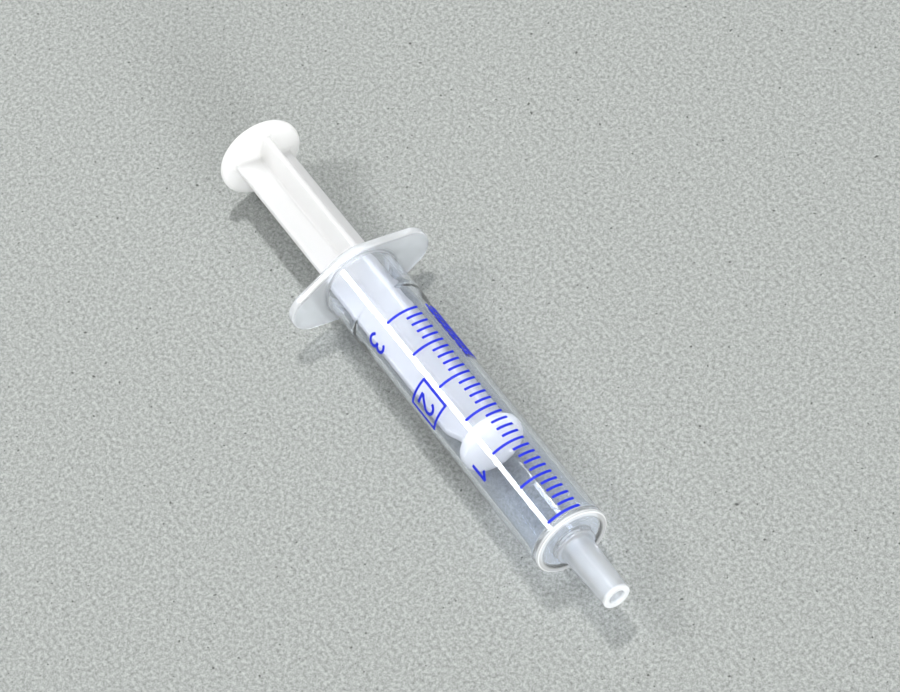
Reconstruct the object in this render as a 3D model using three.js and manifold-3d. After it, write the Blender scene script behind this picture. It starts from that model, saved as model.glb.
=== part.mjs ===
// Two-part disposable syringe: a clear barrel with a slip tip and a finger flange, a one-piece
// plunger with a moulded-on sealing head, and the blue volume scale printed on the barrel.
//
// Millimetres, +Z up. +X runs along the syringe's axis towards the tip, and the finger wings lie
// along Y. The origin is at the middle of the length, on the surface that the syringe lies on.
// A "station" is a distance along the axis behind the barrel's front face, so the tip's end has a
// negative station. An "angle" runs round the axis from straight up (+Z) towards -Y.

import * as THREE from 'three';
import { mergeVertices } from 'three/addons/utils/BufferGeometryUtils.js';
import Module from 'manifold-3d';

// ---------- driving dimensions ----------

// Volume scale: the bore and the length of one millilitre belong together.
const BORE_RADIUS = 4.825;
const ML = 1000 / (Math.PI * BORE_RADIUS ** 2);
const SCALE_TOP_ML = 3;
const SCALE_STEP_ML = 0.1;
const STEPS_PER_LONG_MARK = 5;
const ZERO_STATION = 1.44;

// Barrel tube
const TUBE_RADIUS = 5.58;
const END_WALL = 1.4;
const FACE_ROUND = 0.3;
const BORE_ROUND = 0.3;
const FLARE_START = 43.5;
const FLARE_END = 46.6;
const REAR_RADIUS = 5.8;
const REAR_BORE_RADIUS = 4.92;

// Low ring inside the rear of the barrel, as narrow as the bore. It catches the head's lip, which
// spreads a little in the wider rear, so that the plunger isn't pulled out.
const STOP_RING_STATION = 47.8;
const STOP_RING_RADIUS = BORE_RADIUS;
const STOP_RING_HALF_WIDTH = 1.0;

// Tip: 6 % slip taper on a short collar
const TIP_LENGTH = 10.69;
const TIP_END_RADIUS = 2.05;
const TIP_TAPER = 0.06;
const TIP_HOLE_RADIUS = 1.16;
const TIP_ROUND = 0.18;
const COLLAR_RADIUS = 3.0;
const COLLAR_HEIGHT = 1.05;
const COLLAR_ROUND = 0.25;

// Finger flange: a round middle and two round ends, joined by straight sides
const FLANGE_STATION = 54.6;
const FLANGE_THICKNESS = 1.5;
const FLANGE_MIDDLE_RADIUS = 6.55;
const FLANGE_END_RADIUS = 3.6;
const FLANGE_END_OFFSET = 7.9;
const FLANGE_ROUND = 0.35;
const MOUTH_CHAMFER = 0.4;

// Plunger, at the position drawn back to about 1.3 mL
const HEAD_STATION = 19.0;
const HEAD_RADIUS = 4.75;
const HEAD_RIM = 0.85;
const HEAD_EDGE_ROUND = 0.15;
const NECK_STATION = 21.4;
const NECK_RADIUS = 3.4;
const RIB_RADIUS = 4.5;
const RIB_FULL_STATION = 24.6;
const RIB_THICKNESS = 0.95;
const RIB_ANGLE = -22.5;
const DISC_STATION = 82.96;
const DISC_THICKNESS = 1.25;
const DISC_RADIUS = 6.51;
const DISC_ROUND = 0.45;

// Print: thin curved plates that float just clear of the faceted tube
const INK_RADIUS = TUBE_RADIUS + 0.02;
const INK_THICKNESS = 0.04;
const INK_STEP_DEGREES = 4.5;
const INK_CORNER = 0.12;
const MARK_WIDTH = 0.42;
const MARK_START_ANGLE = -31.4;
const SHORT_MARK_END_ANGLE = -4.8;
const LONG_MARK_END_ANGLE = 21.2;
const NUMERAL_ANGLE = 53;
const NUMERAL_HEIGHT = 3.15;
const NUMERAL_WIDTH = 1.75;
const NUMERAL_STROKE = 0.46;
const THREE_SHIFT = 0.6;
const FRAME_ANGLES = [30, 73];
const FRAME_HEIGHT = 5.6;
const FRAME_STROKE = 0.4;
const PANEL_STATIONS = [32.2, 43.0];
const PANEL_LINE_ANGLE = -52;
const PANEL_BLOCK_ANGLES = [-58, -82];
const PANEL_BLOCKS = 6;
const PANEL_BLOCK_FILL = 0.78;

// Facets
const ROUND_SEGMENTS = 48;
const ARC_SEGMENTS = 11;
const WELD = 1e-4;

// ---------- places that follow from the dimensions ----------

const DISC_REAR = DISC_STATION + DISC_THICKNESS;
const FACE_X = (DISC_REAR - TIP_LENGTH) / 2;
const AXIS_Z = FLANGE_MIDDLE_RADIUS;
const FLANGE_REAR = FLANGE_STATION + FLANGE_THICKNESS;
const radians = THREE.MathUtils.degToRad;
const ARC_PER_DEGREE = radians(1) * INK_RADIUS;

const wasm = await Module();
wasm.setup();

// ---------- solids and meshes ----------

function solidOf(geometry) {
  const bare = geometry.index ? geometry.toNonIndexed() : geometry.clone();
  bare.deleteAttribute('normal');
  bare.deleteAttribute('uv');
  const merged = mergeVertices(bare, WELD);
  const corners = merged.index.array;
  const triangles = [];
  for (let i = 0; i < corners.length; i += 3) {
    const [a, b, c] = corners.slice(i, i + 3);
    if (a !== b && b !== c && c !== a) triangles.push(a, b, c);
  }
  return new wasm.Manifold(new wasm.Mesh({
    numProp: 3,
    vertProperties: new Float32Array(merged.attributes.position.array),
    triVerts: new Uint32Array(triangles),
  }));
}

function geometryOf(solid) {
  const mesh = solid.getMesh();
  const geometry = new THREE.BufferGeometry();
  geometry.setAttribute('position', new THREE.BufferAttribute(mesh.vertProperties, 3));
  geometry.setIndex(new THREE.BufferAttribute(mesh.triVerts, 1));
  geometry.computeVertexNormals();
  return geometry;
}

function joined(solids) {
  return solids.reduce((whole, solid) => whole.add(solid));
}

// Turns a profile of [station, radius] points, from tip to rear, about the syringe's axis. The
// half-facet turn puts the middle of a facet at the bottom, so that round parts lie still.
function turned(profile) {
  const points = profile.map(([station, radius]) => new THREE.Vector2(radius, station));
  const geometry = new THREE.LatheGeometry(points, ROUND_SEGMENTS);
  geometry.rotateZ(Math.PI / 2);
  geometry.rotateX(Math.PI / ROUND_SEGMENTS);
  return solidOf(geometry);
}

// Points of an arc in a [station, radius] profile, about a centre, from one angle to another.
function arc(station, radius, size, fromDegrees, toDegrees, steps = 3) {
  return Array.from({ length: steps + 1 }, (_, i) => {
    const angle = radians(fromDegrees + (toDegrees - fromDegrees) * i / steps);
    return [station + size * Math.cos(angle), radius + size * Math.sin(angle)];
  });
}

// Extrudes an outline, given in Y and Z, from a station to the rear. An odd number of segments
// to each arc puts the middle of a facet at the bottom of the outline.
function plate(outline, fromStation, thickness, round) {
  const geometry = new THREE.ExtrudeGeometry(outline, {
    depth: thickness - 2 * round,
    bevelEnabled: round > 0,
    bevelThickness: round,
    bevelSize: round,
    bevelOffset: -round,
    bevelSegments: 2,
    curveSegments: ARC_SEGMENTS,
  });
  geometry.rotateX(Math.PI / 2);
  geometry.rotateZ(Math.PI / 2);
  geometry.translate(-fromStation - thickness + round, 0, 0);
  return solidOf(geometry);
}

// ---------- barrel ----------

function barrelOutside() {
  const collarFront = -COLLAR_HEIGHT;
  const tipEnd = -TIP_LENGTH;
  const tipBaseRadius = TIP_END_RADIUS + (TIP_LENGTH - COLLAR_HEIGHT) * TIP_TAPER / 2;
  return turned([
    [tipEnd, 0],
    ...arc(tipEnd + TIP_ROUND, TIP_END_RADIUS - TIP_ROUND, TIP_ROUND, 180, 90),
    [collarFront - COLLAR_ROUND, tipBaseRadius],
    [collarFront, tipBaseRadius + COLLAR_ROUND],
    ...arc(collarFront + COLLAR_ROUND, COLLAR_RADIUS - COLLAR_ROUND, COLLAR_ROUND, 180, 90),
    [-COLLAR_ROUND, COLLAR_RADIUS],
    [0, COLLAR_RADIUS + COLLAR_ROUND],
    ...arc(FACE_ROUND, TUBE_RADIUS - FACE_ROUND, FACE_ROUND, 180, 90),
    [FLARE_START, TUBE_RADIUS],
    [FLARE_END, REAR_RADIUS],
    [FLANGE_STATION - 0.4, REAR_RADIUS],
    [FLANGE_STATION + 0.1, REAR_RADIUS + 0.4],
    [FLANGE_REAR - MOUTH_CHAMFER, REAR_RADIUS + 0.4],
    [FLANGE_REAR - MOUTH_CHAMFER, 0],
  ]);
}

function barrelInside() {
  const beyond = 1;
  const ring = STOP_RING_HALF_WIDTH;
  return turned([
    [-TIP_LENGTH - beyond, 0],
    [-TIP_LENGTH - beyond, TIP_HOLE_RADIUS],
    [END_WALL, TIP_HOLE_RADIUS],
    ...arc(END_WALL + BORE_ROUND, BORE_RADIUS - BORE_ROUND, BORE_ROUND, 180, 90),
    [FLARE_START, BORE_RADIUS],
    [FLARE_END, REAR_BORE_RADIUS],
    [STOP_RING_STATION - ring, REAR_BORE_RADIUS],
    [STOP_RING_STATION - ring / 3, STOP_RING_RADIUS],
    [STOP_RING_STATION + ring / 3, STOP_RING_RADIUS],
    [STOP_RING_STATION + ring, REAR_BORE_RADIUS],
    [FLANGE_REAR - MOUTH_CHAMFER, REAR_BORE_RADIUS],
    [FLANGE_REAR, REAR_BORE_RADIUS + MOUTH_CHAMFER],
    [FLANGE_REAR + beyond, REAR_BORE_RADIUS + MOUTH_CHAMFER],
    [FLANGE_REAR + beyond, 0],
  ]);
}

// The straight sides touch the round middle and the round ends where the radii lean by this angle.
function flangeOutline() {
  const lean = Math.asin((FLANGE_MIDDLE_RADIUS - FLANGE_END_RADIUS) / FLANGE_END_OFFSET);
  const quarter = Math.PI / 2;
  const outline = new THREE.Shape();
  outline.absarc(FLANGE_END_OFFSET, 0, FLANGE_END_RADIUS, -quarter + lean, quarter - lean);
  outline.absarc(0, 0, FLANGE_MIDDLE_RADIUS, quarter - lean, quarter + lean);
  outline.absarc(-FLANGE_END_OFFSET, 0, FLANGE_END_RADIUS, quarter + lean, 3 * quarter - lean);
  outline.absarc(0, 0, FLANGE_MIDDLE_RADIUS, 3 * quarter - lean, 3 * quarter + lean);
  return outline;
}

function barrel() {
  const flange = plate(flangeOutline(), FLANGE_STATION, FLANGE_THICKNESS, FLANGE_ROUND);
  return barrelOutside().add(flange).subtract(barrelInside());
}

// ---------- plunger ----------

function plungerHead() {
  const rimRear = HEAD_STATION + HEAD_RIM;
  const backLength = NECK_STATION - rimRear;
  const back = [30, 60, 90].map((degrees) => [
    rimRear + backLength * Math.sin(radians(degrees)),
    NECK_RADIUS + (HEAD_RADIUS - NECK_RADIUS) * Math.cos(radians(degrees)),
  ]);
  return turned([
    [HEAD_STATION, 0],
    ...arc(HEAD_STATION + HEAD_EDGE_ROUND, HEAD_RADIUS - HEAD_EDGE_ROUND, HEAD_EDGE_ROUND, 180, 90, 2),
    [rimRear, HEAD_RADIUS],
    ...back,
    [NECK_STATION + 0.3, NECK_RADIUS / 2],
    [NECK_STATION + 0.3, 0],
  ]);
}

function plungerDisc() {
  const edge = DISC_RADIUS - DISC_ROUND;
  return turned([
    [DISC_STATION, 0],
    ...arc(DISC_STATION + DISC_ROUND, edge, DISC_ROUND, 180, 90),
    ...arc(DISC_REAR - DISC_ROUND, edge, DISC_ROUND, 90, 0),
    [DISC_REAR, 0],
  ]);
}

// One full-width rib: narrow at the neck, then an S-shaped rise to full width.
function rib(angle) {
  const inHead = NECK_STATION - 0.6;
  const inDisc = DISC_STATION + DISC_THICKNESS / 2;
  const rise = [0, 0.2, 0.4, 0.6, 0.8, 1].map((t) => [
    THREE.MathUtils.lerp(NECK_STATION, RIB_FULL_STATION, t),
    THREE.MathUtils.lerp(NECK_RADIUS, RIB_RADIUS, THREE.MathUtils.smoothstep(t, 0, 1)),
  ]);
  const edge = [[inHead, NECK_RADIUS - 0.1], ...rise, [inDisc, RIB_RADIUS]];
  const farEdge = edge.map(([station, radius]) => [station, -radius]).reverse();
  const corners = [...edge, ...farEdge].map(([station, radius]) => new THREE.Vector2(-station, radius));
  const outline = new THREE.Shape(corners);
  const geometry = new THREE.ExtrudeGeometry(outline, { depth: RIB_THICKNESS, bevelEnabled: false });
  geometry.translate(0, 0, -RIB_THICKNESS / 2);
  geometry.rotateX(radians(angle));
  return solidOf(geometry);
}

function plunger() {
  return joined([plungerHead(), plungerDisc(), rib(RIB_ANGLE), rib(RIB_ANGLE + 90)]);
}

// ---------- print ----------

function onTube(station, angle, radius) {
  const a = radians(angle);
  return [-station, -radius * Math.sin(a), radius * Math.cos(a)];
}

// A stroke's centre line with two more points near each end, and the half width at every point,
// so that its corners come out round. Points are [station, angle].
function roundEnded(line, width) {
  const half = width / 2;
  const corner = Math.min(INK_CORNER, half);
  const inset = [corner * 0.3, corner];
  const narrowed = [half - corner, half - corner * 0.29, half];
  const nearEnd = ([s0, a0], [s1, a1]) => {
    const length = Math.hypot(s1 - s0, (a1 - a0) * ARC_PER_DEGREE);
    return inset.map((d) => [s0 + (s1 - s0) * d / length, a0 + (a1 - a0) * d / length]);
  };
  const last = line.length - 1;
  const head = nearEnd(line[0], line[1]);
  const tail = nearEnd(line[last], line[last - 1]).reverse();
  const middle = line.slice(1, last);
  return {
    points: [line[0], ...head, ...middle, ...tail, line[last]],
    halves: [...narrowed, ...middle.map(() => half), ...narrowed.toReversed()],
  };
}

// A stroke of ink along a centre line of [station, angle] points on the tube.
function stroke(line, width) {
  const { points, halves } = roundEnded(line, width);
  const positions = [];
  points.forEach(([station, angle], i) => {
    const [s0, a0] = points[Math.max(i - 1, 0)];
    const [s1, a1] = points[Math.min(i + 1, points.length - 1)];
    const along = new THREE.Vector2(s1 - s0, (a1 - a0) * ARC_PER_DEGREE).setLength(halves[i]);
    const side = [-along.y, along.x / ARC_PER_DEGREE];
    for (const [sign, depth] of [[1, 0], [-1, 0], [-1, INK_THICKNESS], [1, INK_THICKNESS]]) {
      positions.push(...onTube(station + sign * side[0], angle + sign * side[1], INK_RADIUS + depth));
    }
  });
  const last = 4 * (points.length - 1);
  const index = [0, 1, 2, 0, 2, 3, last, last + 2, last + 1, last, last + 3, last + 2];
  for (let first = 0; first < last; first += 4) {
    for (let k = 0; k < 4; k += 1) {
      const [a, b] = [first + k, first + (k + 1) % 4];
      index.push(a, a + 4, b, b, a + 4, b + 4);
    }
  }
  const geometry = new THREE.BufferGeometry();
  geometry.setAttribute('position', new THREE.Float32BufferAttribute(positions, 3));
  geometry.setIndex(index);
  return solidOf(geometry);
}

// Points evenly spaced between two [station, angle] ends, close enough to follow the tube.
function between([s0, a0], [s1, a1]) {
  const steps = Math.max(1, Math.ceil(Math.abs(a1 - a0) / INK_STEP_DEGREES));
  return Array.from({ length: steps + 1 }, (_, i) => [
    s0 + (s1 - s0) * i / steps,
    a0 + (a1 - a0) * i / steps,
  ]);
}

function scaleMark(millilitres, isLong) {
  const station = ZERO_STATION + millilitres * ML;
  const end = isLong ? LONG_MARK_END_ANGLE : SHORT_MARK_END_ANGLE;
  return stroke(between([station, MARK_START_ANGLE], [station, end]), MARK_WIDTH);
}

// A numeral's pen points run from -1 to 1 across and from 0 (foot) to 1 (head). Its head points
// towards the tip, and it is read with the scale on its left.
function penLine(points, station) {
  const degreesPerWidth = NUMERAL_WIDTH / 2 / ARC_PER_DEGREE;
  const foot = station + NUMERAL_HEIGHT / 2;
  const corners = points.map(([across, up]) => [
    foot - up * NUMERAL_HEIGHT,
    NUMERAL_ANGLE + across * degreesPerWidth,
  ]);
  const stretches = corners.slice(1).map((corner, i) => between(corners[i], corner).slice(1));
  return [corners[0], ...stretches.flat()];
}

function bowl(across, up, width, height, fromDegrees, toDegrees, steps = 13) {
  return Array.from({ length: steps + 1 }, (_, i) => {
    const angle = radians(fromDegrees + (toDegrees - fromDegrees) * i / steps);
    return [across + width * Math.cos(angle), up + height * Math.sin(angle)];
  });
}

const NUMERAL_PENS = {
  1: [
    [[0.35, 0], [0.35, 1]],
    [[0.38, 0.99], [-0.75, 0.66]],
  ],
  2: [
    [...bowl(0, 0.71, 0.92, 0.29, 170, -38), [-0.9, 0.03]],
    [[-1, 0], [1, 0]],
  ],
  3: [
    bowl(0, 0.76, 0.85, 0.24, 150, -100),
    bowl(0, 0.27, 1, 0.27, 100, -160),
  ],
};

function numeral(value, station) {
  return joined(NUMERAL_PENS[value].map((points) => stroke(penLine(points, station), NUMERAL_STROKE)));
}

function numeralFrame(station) {
  const [near, far] = FRAME_ANGLES;
  const front = station - FRAME_HEIGHT / 2;
  const rear = station + FRAME_HEIGHT / 2;
  const overrun = FRAME_STROKE / 2;
  const overrunAngle = overrun / ARC_PER_DEGREE;
  const sides = [near, far].map((angle) => between([front - overrun, angle], [rear + overrun, angle]));
  const ends = [front, rear].map((s) => between([s, near - overrunAngle / 2], [s, far + overrunAngle / 2]));
  return joined([...sides, ...ends].map((line) => stroke(line, FRAME_STROKE)));
}

function panelLine() {
  const [front, rear] = PANEL_STATIONS;
  return stroke(between([front, PANEL_LINE_ANGLE], [rear, PANEL_LINE_ANGLE]), MARK_WIDTH);
}

function panelBlock(place) {
  const [front, rear] = PANEL_STATIONS;
  const pitch = (rear - front) / PANEL_BLOCKS;
  const station = front + pitch * (place + 0.5);
  const [near, far] = PANEL_BLOCK_ANGLES;
  return stroke(between([station, near], [station, far]), pitch * PANEL_BLOCK_FILL);
}

// ---------- assembly ----------

const CLEAR = { color: 0xdfe6e4, roughness: 0.08, metalness: 0, transparent: true, opacity: 0.4 };
const WHITE = { color: 0xf1f2f0, roughness: 0.4, metalness: 0 };
const INK = { color: 0x2433c8, roughness: 0.5, metalness: 0 };

const group = new THREE.Group();
group.position.set(FACE_X, 0, AXIS_Z);

function addPart(name, solid, look) {
  const mesh = new THREE.Mesh(geometryOf(solid), new THREE.MeshStandardMaterial(look));
  mesh.name = name;
  group.add(mesh);
}

addPart('barrel', barrel(), CLEAR);
addPart('plunger', plunger(), WHITE);

const markCount = Math.round(SCALE_TOP_ML / SCALE_STEP_ML) + 1;
for (let i = 0; i < markCount; i += 1) {
  const millilitres = i * SCALE_STEP_ML;
  const name = `scale_mark_${millilitres.toFixed(1).replace('.', '_')}`;
  addPart(name, scaleMark(millilitres, i % STEPS_PER_LONG_MARK === 0), INK);
}

addPart('numeral_1', numeral(1, ZERO_STATION + ML), INK);
addPart('numeral_2', numeral(2, ZERO_STATION + 2 * ML), INK);
addPart('numeral_3', numeral(3, ZERO_STATION + 3 * ML - THREE_SHIFT), INK);
addPart('numeral_frame', numeralFrame(ZERO_STATION + 2 * ML), INK);

addPart('panel_line', panelLine(), INK);
for (let place = 0; place < PANEL_BLOCKS; place += 1) {
  addPart(`panel_block_${place + 1}`, panelBlock(place), INK);
}

export default group;
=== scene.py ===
"""Looks for a disposable two-part syringe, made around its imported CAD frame.

Lengths here are millimetres unless a name says otherwise; mesh code turns them into metres. A station is a
distance along the axis behind the barrel's front face, as in the CAD source, so the tip's are negative.
"""

import math

import bpy
import numpy as np
from mathutils import Matrix, Vector


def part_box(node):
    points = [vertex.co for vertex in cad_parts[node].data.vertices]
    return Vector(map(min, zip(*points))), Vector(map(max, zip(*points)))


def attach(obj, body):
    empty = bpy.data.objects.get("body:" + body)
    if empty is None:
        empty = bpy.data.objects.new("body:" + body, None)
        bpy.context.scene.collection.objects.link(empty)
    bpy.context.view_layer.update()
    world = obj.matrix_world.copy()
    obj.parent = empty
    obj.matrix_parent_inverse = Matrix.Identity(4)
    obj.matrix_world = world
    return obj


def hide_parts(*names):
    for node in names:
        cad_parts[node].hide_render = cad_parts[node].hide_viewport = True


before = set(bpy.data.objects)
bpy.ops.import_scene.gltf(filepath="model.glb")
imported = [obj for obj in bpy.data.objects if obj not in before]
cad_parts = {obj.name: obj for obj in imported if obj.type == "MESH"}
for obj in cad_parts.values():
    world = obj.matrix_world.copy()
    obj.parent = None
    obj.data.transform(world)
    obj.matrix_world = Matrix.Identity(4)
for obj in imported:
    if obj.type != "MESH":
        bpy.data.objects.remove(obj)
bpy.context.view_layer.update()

MM = 0.001

# ---------- places read from the frame ----------

BARREL_LOW, BARREL_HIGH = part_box("barrel")
PLUNGER_LOW, PLUNGER_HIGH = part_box("plunger")
AXIS_Z = 6.55
TIP_LENGTH = 10.69
FACE_X = BARREL_HIGH.x / MM - TIP_LENGTH

# ---------- the barrel's dimensions ----------

FLANGE_REAR = FACE_X - BARREL_LOW.x / MM
FLANGE_THICKNESS = 1.5
FLANGE_FRONT = FLANGE_REAR - FLANGE_THICKNESS
FLANGE_MIDDLE_RADIUS = AXIS_Z
FLANGE_END_RADIUS = 3.6
FLANGE_END_OFFSET = 7.9
FLANGE_ROUND = 0.4
TUBE_RADIUS = 5.58
BORE_RADIUS = 4.825
END_WALL = 1.4
FLARE = (43.5, 46.6)
REAR_RADIUS = 5.8
REAR_BORE_RADIUS = 4.92
STOP_RING = (46.8, 48.8, BORE_RADIUS)
TIP_END_RADIUS = 2.05
TIP_BASE_RADIUS = 2.34
TIP_HOLE_RADIUS = 1.16
COLLAR_RADIUS = 3.0
COLLAR_HEIGHT = 1.05

# Roundings of the barrel's edges, and fillets in its corners
TIP_ROUND = 0.18
TIP_FILLET = 0.3
COLLAR_ROUND = 0.22
COLLAR_FILLET = 0.2
FACE_ROUND = 0.3
FLANGE_FILLET = 0.45
MOUTH_ROUND = 0.3
BORE_FILLET = 0.35
HOLE_REAR_ROUND = 0.25
HOLE_FRONT_ROUND = 0.12

# Where the tip's taper starts: behind the tip's end, and out from its end radius
TAPER_START = (0.4, 0.006)

# ---------- the plunger's dimensions ----------

HEAD_FRONT = FACE_X - PLUNGER_HIGH.x / MM
HEAD_RADIUS = 4.79
HEAD_RIM = 0.85
NECK = 21.4
NECK_RADIUS = 3.4
RIB_FULL = 24.6
RIB_RADIUS = 4.5
RIB_THICKNESS = 0.95
RIB_ANGLE = -22.5
DISC_REAR = FACE_X - PLUNGER_LOW.x / MM
DISC_THICKNESS = 1.25
DISC_RADIUS = 6.51
DISC_ROUND = 0.5
HEAD_ROUND = 0.2
HEAD_REAR_ROUND = 0.1
NECK_FILLET = 0.3
FOOT_FILLET = 0.4

# Points round the barrel, and the least angle in degrees that stays a sharp edge
AROUND = 256
SHARP_ANGLE = 35


# ---------- mesh helpers ----------


def point(station, y, z):
    """A point given by its station and its place beside and above the axis, in metres in the row frame."""
    return ((FACE_X - station) * MM, y * MM, (AXIS_Z + z) * MM)


def arc(station, radius, size, start, end, steps=6):
    """Points of an arc in a (station, radius) profile, in degrees from the +station direction."""
    angles = np.radians(np.linspace(start, end, steps + 1))
    return [(station + size * math.cos(a), radius + size * math.sin(a)) for a in angles]


def line(start, end, steps):
    """Evenly spaced points from start up to, and not including, end."""
    return [tuple(np.array(start) + (np.array(end) - np.array(start)) * i / steps) for i in range(steps)]


def smoothstep(t):
    t = min(max(t, 0.0), 1.0)
    return t * t * (3 - 2 * t)


def ring_mesh(name, rings, closed_tube):
    """A mesh from rings of points, tip to rear, all with the same count. A closed tube joins the last ring to
    the first; otherwise the first and last ring are filled with a fan."""
    count = len(rings[0])
    vertices = [p for ring in rings for p in ring]
    faces = []
    pairs = len(rings) if closed_tube else len(rings) - 1
    for i in range(pairs):
        first = i * count
        second = (i + 1) % len(rings) * count
        for k in range(count):
            after = (k + 1) % count
            faces.append((first + k, second + k, second + after, first + after))
    if not closed_tube:
        for ring, flip in ((0, False), (len(rings) - 1, True)):
            middle = len(vertices)
            vertices.append(tuple(np.mean(rings[ring], axis=0)))
            for k in range(count):
                a, b = ring * count + k, ring * count + (k + 1) % count
                faces.append((middle, b, a) if flip else (middle, a, b))
    mesh = bpy.data.meshes.new(name)
    mesh.from_pydata(vertices, [], faces)
    mesh.update()
    return mesh


def finish_mesh(mesh, body, material, node):
    """Smooths a finished mesh, makes its object and lets it stand for a CAD node."""
    mesh.polygons.foreach_set("use_smooth", np.ones(len(mesh.polygons), bool))
    mesh.set_sharp_from_angle(angle=math.radians(SHARP_ANGLE))
    mesh.materials.append(material)
    piece = bpy.data.objects.new(mesh.name, mesh)
    bpy.context.scene.collection.objects.link(piece)
    normals = piece.modifiers.new("face_weighted_normals", "WEIGHTED_NORMAL")
    normals.keep_sharp = True
    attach(piece, body)
    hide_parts(node)
    return piece


# ---------- barrel ----------


def flange_reach(angle):
    """How far the flange's outline is from the axis, in a direction given by its angle from +Y."""
    across, up = abs(math.cos(angle)), abs(math.sin(angle))
    lean = math.asin((FLANGE_MIDDLE_RADIUS - FLANGE_END_RADIUS) / FLANGE_END_OFFSET)
    side = FLANGE_MIDDLE_RADIUS / (across * math.sin(lean) + up * math.cos(lean))
    if math.atan2(up, across) > math.pi / 2 - lean:
        return FLANGE_MIDDLE_RADIUS
    touch_y = FLANGE_END_OFFSET + FLANGE_END_RADIUS * math.sin(lean)
    touch_z = FLANGE_END_RADIUS * math.cos(lean)
    if math.atan2(up, across) > math.atan2(touch_z, touch_y):
        return side
    along = FLANGE_END_OFFSET * across
    return along + math.sqrt(FLANGE_END_RADIUS**2 - (FLANGE_END_OFFSET * up) ** 2)


def barrel_profile():
    """Profile of the barrel, in five stretches: along the outside from the tip to the flange, out over the
    flange's front, round its edge, back in over its rear, and through the bore to the tip. Points are
    (station, radius), but the edge has (station, distance out from the flange's outline), and the two faces
    have (station, share of the way out to the edge). Plain points close to a rounding keep its shading from
    spreading."""
    tip_end = -TIP_LENGTH
    outside = [
        *arc(tip_end + TIP_ROUND, TIP_END_RADIUS - TIP_ROUND, TIP_ROUND, 180, 90),
        *line(
            (tip_end + TAPER_START[0], TIP_END_RADIUS + TAPER_START[1]),
            (-COLLAR_HEIGHT - TIP_FILLET, TIP_BASE_RADIUS),
            12,
        ),
        *arc(-COLLAR_HEIGHT - TIP_FILLET, TIP_BASE_RADIUS + TIP_FILLET, TIP_FILLET, -90, 0),
        *arc(-COLLAR_HEIGHT + COLLAR_ROUND, COLLAR_RADIUS - COLLAR_ROUND, COLLAR_ROUND, 180, 90),
        (-2 * COLLAR_FILLET, COLLAR_RADIUS),
        *arc(-COLLAR_FILLET, COLLAR_RADIUS + COLLAR_FILLET, COLLAR_FILLET, -90, 0),
        *line((0, COLLAR_RADIUS + 0.3), (0, TUBE_RADIUS - 0.4), 6),
        *arc(FACE_ROUND, TUBE_RADIUS - FACE_ROUND, FACE_ROUND, 180, 90),
        *line((2 * FACE_ROUND, TUBE_RADIUS), (FLARE[0], TUBE_RADIUS), 40),
        *[(s, flare(s, TUBE_RADIUS, REAR_RADIUS)) for s in np.linspace(*FLARE, 9)],
        *line((FLARE[1] + 0.4, REAR_RADIUS), (FLANGE_FRONT - 0.5, REAR_RADIUS), 8),
        *arc(FLANGE_FRONT - FLANGE_FILLET, REAR_RADIUS + FLANGE_FILLET, FLANGE_FILLET, -90, 0),
    ]
    inside = [
        *arc(FLANGE_REAR - MOUTH_ROUND, REAR_BORE_RADIUS + MOUTH_ROUND, MOUTH_ROUND, 0, -90),
        *line((FLANGE_REAR - 2 * MOUTH_ROUND, REAR_BORE_RADIUS), (STOP_RING[1] + 0.2, REAR_BORE_RADIUS), 8),
        *stop_ring(),
        *[(s, flare(s, BORE_RADIUS, REAR_BORE_RADIUS)) for s in np.linspace(FLARE[1], FLARE[0], 9)],
        *line((FLARE[0] - 0.5, BORE_RADIUS), (END_WALL + 0.5, BORE_RADIUS), 40),
        *arc(END_WALL + BORE_FILLET, BORE_RADIUS - BORE_FILLET, BORE_FILLET, 90, 180),
        *line((END_WALL, BORE_RADIUS - 0.45), (END_WALL, TIP_HOLE_RADIUS + 0.35), 6),
        *arc(END_WALL - HOLE_REAR_ROUND, TIP_HOLE_RADIUS + HOLE_REAR_ROUND, HOLE_REAR_ROUND, 0, -90),
        *line((END_WALL - 0.6, TIP_HOLE_RADIUS), (tip_end + TAPER_START[0], TIP_HOLE_RADIUS), 12),
        *arc(tip_end + HOLE_FRONT_ROUND, TIP_HOLE_RADIUS + HOLE_FRONT_ROUND, HOLE_FRONT_ROUND, 270, 180),
    ]
    edge = [
        *arc(FLANGE_FRONT + FLANGE_ROUND, -FLANGE_ROUND, FLANGE_ROUND, 180, 90),
        *arc(FLANGE_REAR - FLANGE_ROUND, -FLANGE_ROUND, FLANGE_ROUND, 90, 0),
    ]
    flange_steps = (0.15, 0.4, 0.65, 0.88)
    front_face = [(FLANGE_FRONT, t) for t in flange_steps]
    rear_face = [(FLANGE_REAR, t) for t in reversed(flange_steps)]
    return outside, front_face, edge, rear_face, inside


def flare(station, front_radius, rear_radius):
    t = (station - FLARE[0]) / (FLARE[1] - FLARE[0])
    return front_radius + (rear_radius - front_radius) * smoothstep(t)


def stop_ring():
    """The low ring inside the barrel's rear, as a smooth bump, from rear to front."""
    front, rear, radius = STOP_RING
    height = REAR_BORE_RADIUS - radius
    points = []
    for station in np.linspace(rear, front, 13):
        share = math.sin(math.pi * (station - front) / (rear - front)) ** 2
        points.append((station, REAR_BORE_RADIUS - height * share))
    return points


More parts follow.
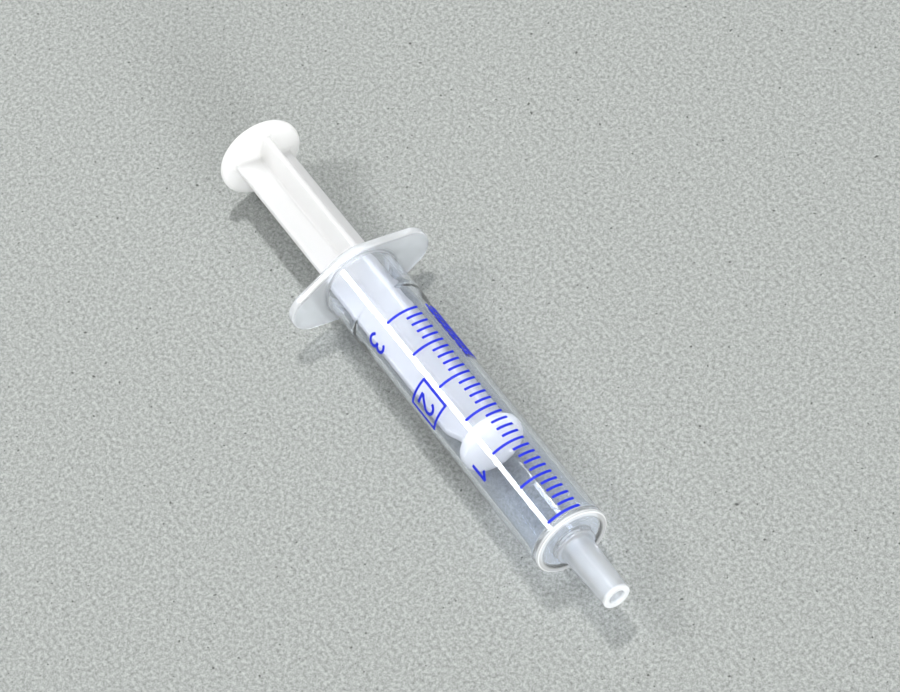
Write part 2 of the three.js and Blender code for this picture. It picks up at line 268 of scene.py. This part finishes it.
def make_barrel(material):
    outside, front_face, edge, rear_face, inside = barrel_profile()
    angles = [2 * math.pi * k / AROUND for k in range(AROUND)]
    reach = [flange_reach(a) for a in angles]
    inner_front, inner_rear = outside[-1][1], inside[0][1]

    def ring(station, radii):
        return [point(station, r * math.cos(a), r * math.sin(a)) for a, r in zip(angles, radii, strict=True)]

    def face_ring(station, t, inner):
        return ring(station, [inner + (r - FLANGE_ROUND - inner) * t for r in reach])

    rings = [ring(s, [r] * AROUND) for s, r in outside]
    rings += [face_ring(s, t, inner_front) for s, t in front_face]
    rings += [ring(s, [r + inward for r in reach]) for s, inward in edge]
    rings += [face_ring(s, t, inner_rear) for s, t in rear_face]
    rings += [ring(s, [r] * AROUND) for s, r in inside]
    mesh = ring_mesh("clear_barrel", rings, closed_tube=True)
    return finish_mesh(mesh, "barrel", material, "barrel")


# ---------- plunger ----------

RIB_ROUND = 0.16
ROOT_ROUND = 0.35
FLANK_STEPS = 8
CORNER_STEPS = 4
ROOT_STEPS = 6


def quarter_section(reach, grow=0.0):
    """Points of one quarter of the cross section, from the middle of one rib's edge to the middle of the next
    one. grow swells the section evenly, for the fillets at its ends."""
    half = RIB_THICKNESS / 2 + grow
    reach = reach + grow
    corner = (reach - RIB_ROUND, half - RIB_ROUND)
    root = half + ROOT_ROUND
    points = [(reach, 0.0)]
    for a in np.radians(np.linspace(0, 90, CORNER_STEPS + 1)):
        points.append((corner[0] + RIB_ROUND * math.cos(a), corner[1] + RIB_ROUND * math.sin(a)))
    for i in range(1, FLANK_STEPS):
        t = i / FLANK_STEPS
        points.append((corner[0] + (root - corner[0]) * t, half))
    for a in np.radians(np.linspace(270, 180, ROOT_STEPS + 1)):
        points.append((root + ROOT_ROUND * math.cos(a), root + ROOT_ROUND * math.sin(a)))
    mirrored = [(y, x) for x, y in reversed(points[1 : len(points) - ROOT_STEPS - 1])]
    return points + mirrored


def cross_section(reach, grow=0.0):
    quarter = np.array(quarter_section(reach, grow))
    turn = np.array(((0, -1), (1, 0)))
    return np.vstack([quarter @ np.linalg.matrix_power(turn, k).T for k in range(4)])


def round_section(radius, pattern):
    """A circle whose points lie in the directions of a cross section's points."""
    return pattern / np.linalg.norm(pattern, axis=1, keepdims=True) * radius


def rib_reach(station):
    t = (station - NECK) / (RIB_FULL - NECK)
    return NECK_RADIUS + (RIB_RADIUS - NECK_RADIUS) * smoothstep(t)


def make_plunger(material):
    turn = math.radians(RIB_ANGLE)
    side = np.array((math.cos(turn), math.sin(turn)))
    up = np.array((-math.sin(turn), math.cos(turn)))
    pattern = cross_section(RIB_RADIUS)

    def ring(station, section):
        return [point(station, *(side * x + up * y)) for x, y in section]

    rim_rear = HEAD_FRONT + HEAD_RIM
    rim_inner = HEAD_RADIUS - HEAD_REAR_ROUND
    head = [(HEAD_FRONT, r) for r in (1.5, 3.0, HEAD_RADIUS - 0.3)]
    head += arc(HEAD_FRONT + HEAD_ROUND, HEAD_RADIUS - HEAD_ROUND, HEAD_ROUND, 180, 90)
    head += arc(rim_rear - HEAD_REAR_ROUND, rim_inner, HEAD_REAR_ROUND, 90, 20, 3)
    dome = NECK - rim_rear
    for a in np.radians(np.linspace(12, 84, 9)):
        head.append((rim_rear + dome * math.sin(a), NECK_RADIUS + (rim_inner - NECK_RADIUS) * math.cos(a)))
    rings = [ring(s, round_section(r, pattern)) for s, r in head]

    back = NECK - 0.04
    start = cross_section(NECK_RADIUS - 0.05, NECK_FILLET)
    for t in (0.0, 0.5):
        outer = round_section(NECK_RADIUS + 0.04, pattern)
        rings.append(ring(back + 0.02 * t, outer * (1 - t) + start * t))
    for a in np.radians(np.linspace(0, 90, 5)):
        section = cross_section(rib_reach(NECK), NECK_FILLET * (1 - math.sin(a)))
        rings.append(ring(back + 0.05 + NECK_FILLET * math.sin(a), section))
    for station in np.linspace(NECK + 0.5, RIB_FULL, 14):
        rings.append(ring(station, cross_section(rib_reach(station))))
    disc_front = DISC_REAR - DISC_THICKNESS
    for station in np.linspace(RIB_FULL + 1, disc_front - 1, 50):
        rings.append(ring(station, cross_section(RIB_RADIUS)))
    for a in np.radians(np.linspace(0, 90, 6)):
        section = cross_section(RIB_RADIUS, FOOT_FILLET * (1 - math.cos(a)))
        rings.append(ring(disc_front - FOOT_FILLET + FOOT_FILLET * math.sin(a), section))
    swollen = cross_section(RIB_RADIUS, FOOT_FILLET)
    edge = round_section(DISC_RADIUS - DISC_ROUND, pattern)
    for t in (0.3, 0.65, 0.92):
        rings.append(ring(disc_front, swollen * (1 - t) + edge * t))
    disc = arc(disc_front + DISC_ROUND, DISC_RADIUS - DISC_ROUND, DISC_ROUND, 180, 90)
    disc += arc(DISC_REAR - DISC_ROUND, DISC_RADIUS - DISC_ROUND, DISC_ROUND, 90, 0)
    disc += [(DISC_REAR, r) for r in (DISC_RADIUS - DISC_ROUND - 0.15, 4.0, 2.0)]
    rings += [ring(s, round_section(r, pattern)) for s, r in disc]
    mesh = ring_mesh("white_plunger", rings, closed_tube=False)
    return finish_mesh(mesh, "plunger", material, "plunger")


# ---------- materials ----------

# Share of the light that goes through the barrel's surface, by station along it, and on the front face by
# distance from the axis. The milky plastic scatters the rest, most where it is thick: at the tip, the flange
# and the front rim.
CLEARNESS_ALONG = (
    (-TIP_LENGTH, 0.4),
    (-TIP_LENGTH + 0.5, 0.8),
    (-COLLAR_HEIGHT, 0.85),
    (0.0, 0.97),
    (0.05, 0.4),
    (0.3, 0.4),
    (0.5, 0.86),
    (1.2, 0.92),
    (1.8, 0.99),
    (FLARE[0], 0.985),
    (FLANGE_FRONT, 0.96),
    (FLANGE_FRONT + 0.1, 0.6),
    (FLANGE_REAR - 0.1, 0.6),
    (FLANGE_REAR, 0.8),
)
CLEARNESS_OF_FACE = (
    (BORE_RADIUS - 0.4, 1.0),
    (BORE_RADIUS + 0.1, 0.6),
    (TUBE_RADIUS - 0.3, 0.6),
    (TUBE_RADIUS - 0.24, 0.35),
    (TUBE_RADIUS - 0.12, 0.35),
    (TUBE_RADIUS, 1.0),
)
FACE_DEPTH = ((0.3, 0.0), (0.6, 1.0))


def new_material(name):
    material = bpy.data.materials.new(name)
    material.use_nodes = True
    nodes = material.node_tree.nodes
    return material, nodes, material.node_tree.links, nodes["Principled BSDF"], nodes["Material Output"]


def noise(nodes, links, scale, detail=3.0, coarse=0.5):
    """A noise texture in the piece's own coordinates, in repeats a metre."""
    place = nodes.new("ShaderNodeTexCoord")
    texture = nodes.new("ShaderNodeTexNoise")
    texture.inputs["Scale"].default_value = scale
    texture.inputs["Detail"].default_value = detail
    texture.inputs["Roughness"].default_value = coarse
    links.new(place.outputs["Object"], texture.inputs["Vector"])
    return texture.outputs["Fac"]


def ranged(nodes, links, source, low, high):
    span = nodes.new("ShaderNodeMapRange")
    span.inputs["From Min"].default_value = 0.3
    span.inputs["From Max"].default_value = 0.7
    span.inputs["To Min"].default_value = low
    span.inputs["To Max"].default_value = high
    links.new(source, span.inputs["Value"])
    return span.outputs["Result"]


def bump(nodes, links, height, distance_mm):
    node = nodes.new("ShaderNodeBump")
    node.inputs["Strength"].default_value = 1.0
    node.inputs["Distance"].default_value = distance_mm * MM
    links.new(height, node.inputs["Height"])
    return node.outputs["Normal"]


def station_and_radius(nodes, links):
    """Station and distance from the axis, in millimetres, in the piece's own coordinates."""
    place = nodes.new("ShaderNodeTexCoord")
    split = nodes.new("ShaderNodeSeparateXYZ")
    links.new(place.outputs["Object"], split.inputs["Vector"])
    station = nodes.new("ShaderNodeMath")
    station.operation = "MULTIPLY_ADD"
    station.inputs[1].default_value = -1 / MM
    station.inputs[2].default_value = FACE_X
    links.new(split.outputs["X"], station.inputs[0])
    across = nodes.new("ShaderNodeVectorMath")
    across.operation = "MULTIPLY_ADD"
    across.inputs[1].default_value = (0, 1 / MM, 1 / MM)
    across.inputs[2].default_value = (0, 0, -AXIS_Z)
    links.new(place.outputs["Object"], across.inputs[0])
    radius = nodes.new("ShaderNodeVectorMath")
    radius.operation = "LENGTH"
    links.new(across.outputs["Vector"], radius.inputs[0])
    return station.outputs["Value"], radius.outputs["Value"]


def follow(nodes, links, source, stops):
    """A value that follows (place, value) stops as source grows."""
    span = nodes.new("ShaderNodeMapRange")
    ramp = nodes.new("ShaderNodeValToRGB")
    first, last = stops[0][0], stops[-1][0]
    span.inputs["From Min"].default_value = first
    span.inputs["From Max"].default_value = last
    elements = ramp.color_ramp.elements
    elements.remove(elements[1])
    for i, (place, value) in enumerate(stops):
        element = elements[0] if i == 0 else elements.new(1.0)
        element.position = (place - first) / (last - first)
        element.color = (value, value, value, 1)
    links.new(source, span.inputs["Value"])
    links.new(span.outputs["Result"], ramp.inputs["Fac"])
    return ramp.outputs["Color"]


def calculated(nodes, links, operation, first, second):
    node = nodes.new("ShaderNodeMath")
    node.operation = operation
    links.new(first, node.inputs[0])
    links.new(second, node.inputs[1])
    return node.outputs["Value"]


def mixed(nodes, links, factor, first, second):
    """A colour that goes from first to second as factor goes from 0 to 1."""
    node = nodes.new("ShaderNodeMix")
    node.data_type = "RGBA"
    node.inputs["A"].default_value = (*first, 1)
    node.inputs["B"].default_value = (*second, 1)
    links.new(factor, node.inputs["Factor"])
    return node.outputs["Result"]


def clear_material():
    """Clear moulded polypropylene: it bends light like the real wall and lets lamps through. The thin tube is
    nearly clear, and the thick tip and flange are milky."""
    material, nodes, links, shell, output = new_material("clear_polypropylene")
    shell.inputs["Base Color"].default_value = (0.89, 0.925, 0.995, 1)
    shell.inputs["IOR"].default_value = 1.49
    shell.inputs["Subsurface Weight"].default_value = 1.0
    shell.inputs["Subsurface Radius"].default_value = (1.0, 1.0, 1.0)
    shell.inputs["Subsurface Scale"].default_value = 0.8 * MM
    station, radius = station_and_radius(nodes, links)
    along = follow(nodes, links, station, CLEARNESS_ALONG)
    face = follow(nodes, links, radius, CLEARNESS_OF_FACE)
    behind_face = follow(nodes, links, station, FACE_DEPTH)
    across = calculated(nodes, links, "MAXIMUM", face, behind_face)
    clearness = calculated(nodes, links, "MINIMUM", along, across)
    links.new(clearness, shell.inputs["Transmission Weight"])
    links.new(ranged(nodes, links, noise(nodes, links, 900), 0.02, 0.06), shell.inputs["Roughness"])
    links.new(bump(nodes, links, noise(nodes, links, 200, 1), 0.0006), shell.inputs["Normal"])
    path = nodes.new("ShaderNodeLightPath")
    through = nodes.new("ShaderNodeBsdfTransparent")
    straight = mixed(nodes, links, clearness, (0.2, 0.21, 0.23), (0.6, 0.605, 0.615))
    links.new(straight, through.inputs["Color"])
    lamps = nodes.new("ShaderNodeMixShader")
    links.new(path.outputs["Is Shadow Ray"], lamps.inputs["Fac"])
    links.new(shell.outputs["BSDF"], lamps.inputs[1])
    links.new(through.outputs["BSDF"], lamps.inputs[2])
    links.new(lamps.outputs["Shader"], output.inputs["Surface"])
    return material


def white_material():
    """Natural-white polyethylene: light goes a little way in, and the moulded surface is softly uneven."""
    material, nodes, links, shell, _ = new_material("white_polyethylene")
    shell.inputs["Base Color"].default_value = (0.77, 0.765, 0.75, 1)
    shell.inputs["Subsurface Weight"].default_value = 1.0
    shell.inputs["Subsurface Radius"].default_value = (1.0, 1.0, 0.95)
    shell.inputs["Subsurface Scale"].default_value = 7.0 * MM
    shell.inputs["IOR"].default_value = 1.5
    links.new(ranged(nodes, links, noise(nodes, links, 700), 0.28, 0.42), shell.inputs["Roughness"])
    links.new(bump(nodes, links, noise(nodes, links, 350), 0.02), shell.inputs["Normal"])
    return material


def ink_material():
    """Blue screen print: dense, with slightly uneven cover."""
    material, nodes, links, shell, _ = new_material("blue_ink")
    cover = ranged(nodes, links, noise(nodes, links, 3000), 0, 1)
    colour = mixed(nodes, links, cover, (0.006, 0.016, 0.5), (0.014, 0.03, 0.62))
    links.new(colour, shell.inputs["Base Color"])
    shell.inputs["Roughness"].default_value = 0.5
    shell.inputs["Specular IOR Level"].default_value = 0.2
    return material


def floor_material():
    """Pale grey-green felt with a few dark specks."""
    material, nodes, links, shell, _ = new_material("pale_floor")
    fleck = ranged(nodes, links, noise(nodes, links, 1800, 7, 0.85), 0, 1)
    speck = follow(nodes, links, noise(nodes, links, 1200, 1), ((0.0, 1.0), (0.74, 1.0), (0.76, 0.0)))
    cover = calculated(nodes, links, "MINIMUM", fleck, speck)
    colour = mixed(nodes, links, cover, (0.08, 0.085, 0.08), (0.53, 0.555, 0.535))
    links.new(colour, shell.inputs["Base Color"])
    shell.inputs["Roughness"].default_value = 0.9
    links.new(bump(nodes, links, noise(nodes, links, 1300, 8, 0.8), 0.12), shell.inputs["Normal"])
    return material


# ---------- stage, light and camera ----------


def make_floor():
    half = 1.5
    mesh = bpy.data.meshes.new("floor")
    corners = [(-half, -half, 0), (half, -half, 0), (half, half, 0), (-half, half, 0)]
    mesh.from_pydata(corners, [], [(0, 1, 2, 3)])
    mesh.materials.append(floor_material())
    floor = bpy.data.objects.new("floor", mesh)
    bpy.context.scene.collection.objects.link(floor)


def panel_light(name, direction, distance, size, watts, mirrored=False):
    """A soft rectangular light, in a direction from the middle of the object, with its size given along and
    across the X direction. Only a mirrored one makes a sharp highlight on the plastic."""
    light = bpy.data.lights.new(name, "AREA")
    light.cycles.use_multiple_importance_sampling = mirrored
    light.shape = "RECTANGLE"
    light.size, light.size_y = size
    light.energy = watts
    lamp = bpy.data.objects.new(name, light)
    away = Vector(direction).normalized()
    along = Vector((1, 0, 0)) - away * away.x
    along.normalize()
    across = away.cross(along)
    turned = Matrix((along, across, away)).transposed().to_4x4()
    lamp.matrix_world = Matrix.Translation(away * distance) @ turned
    bpy.context.scene.collection.objects.link(lamp)


def make_lights():
    panel_light("left_strip", (-0.52, -0.5, 0.7), 0.7, (0.17, 0.15), 2.0, mirrored=True)
    panel_light("overhead_key", (-0.3, 0.22, 1.0), 1.0, (0.08, 0.06), 6.5)
    panel_light("right_fill", (0.72, 0.22, 0.65), 0.9, (0.6, 0.6), 2.0)
    panel_light("front_fill", (0.95, -0.1, 0.2), 0.9, (0.3, 0.5), 9.0)
    world = bpy.data.worlds.new("studio")
    world.use_nodes = True
    world.node_tree.nodes["Background"].inputs["Color"].default_value = (0.97, 0.99, 1.0, 1)
    world.node_tree.nodes["Background"].inputs["Strength"].default_value = 0.38
    world.cycles.sampling_method = "NONE"
    bpy.context.scene.world = world


def make_camera():
    """A long lens from above the +X end, placed from the middle of the barrel's front face."""
    data = bpy.data.cameras.new("camera")
    data.lens = 134.7
    data.sensor_width = 36
    data.clip_start = 0.01
    camera = bpy.data.objects.new("camera", data)
    right = Vector((0.52788, 0.82994, -0.18037))
    up = Vector((-0.64496, 0.52989, 0.55067))
    back = Vector((0.5526, -0.17436, 0.8150))
    place = Vector(point(0, 0, 0)) + Vector((222.05, -77.79, 382.32)) * MM
    camera.matrix_world = Matrix.Translation(place) @ Matrix((right, up, back)).transposed().to_4x4()
    bpy.context.scene.collection.objects.link(camera)
    bpy.context.scene.camera = camera


def finish_cad_nodes(ink):
    """The printed marks stay as they are in the CAD, and get the ink."""
    for name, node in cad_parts.items():
        if name in ("barrel", "plunger"):
            continue
        for place in node.material_slots:
            place.material = ink


make_camera()
make_floor()
make_lights()
make_barrel(clear_material())
make_plunger(white_material())
finish_cad_nodes(ink_material())

scene = bpy.context.scene
scene.view_settings.view_transform = "Standard"
scene.cycles.caustics_reflective = False
scene.cycles.max_bounces = 24
scene.cycles.transmission_bounces = 16
scene.cycles.transparent_max_bounces = 24
